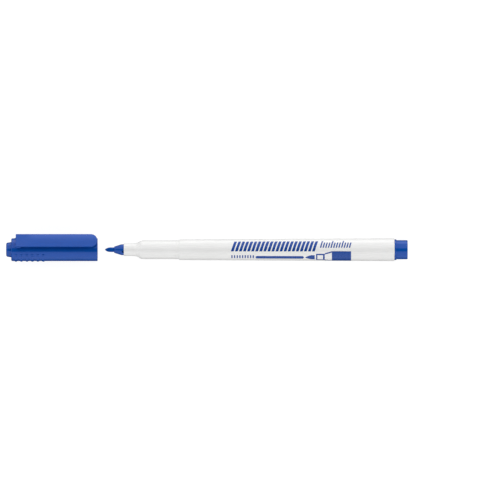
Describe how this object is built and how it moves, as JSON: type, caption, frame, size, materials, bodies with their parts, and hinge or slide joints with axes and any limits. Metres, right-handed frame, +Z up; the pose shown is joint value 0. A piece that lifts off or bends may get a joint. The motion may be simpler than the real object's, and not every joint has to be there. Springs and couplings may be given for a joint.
{
  "type": "felt tip marker",
  "caption": "Slim felt tip marker with a white barrel, a blue holder and plug, a bullet nib, and a pull-off cap with a pocket clip and grip nubs.",
  "frame": {"origin": "under the middle of the whole marker's box, with the cap off, on the surface that it lies on", "axes": "+X along the pen from the nib to the end plug, +Z up, and the clip leans from up towards +Y"},
  "size_m": [0.1806, 0.0126, 0.0134],
  "materials": {
    "white_plastic": "satin",
    "blue_plastic": "satin",
    "nib_fibre": "matte",
    "ink_fibre": "matte",
    "clear_film": "gloss"
  },
  "bodies": {
    "pen": {"barrel": "white_plastic", "nib": "nib_fibre", "nib_holder": "blue_plastic", "ink_reservoir": "ink_fibre", "reservoir_film": "clear_film", "end_plug": "blue_plastic"},
    "cap": {"cap_shell": "blue_plastic", "inner_cap": "blue_plastic"},
    "clip": {"cap_clip": "blue_plastic"}
  },
  "joints": [
    {"name": "cap_slide", "type": "slide", "parent": "pen", "child": "cap", "axis": [1, 0, 0], "range_m": [0, 0.0366]},
    {"name": "clip_flex", "type": "hinge", "parent": "cap", "child": "clip", "pos_m": [-0.08375, 0.00318, 0.011], "axis": [0, -0.809, 0.5878], "range_deg": [0, 3], "stiffness_Nm_per_rad": 0.2}
  ]
}
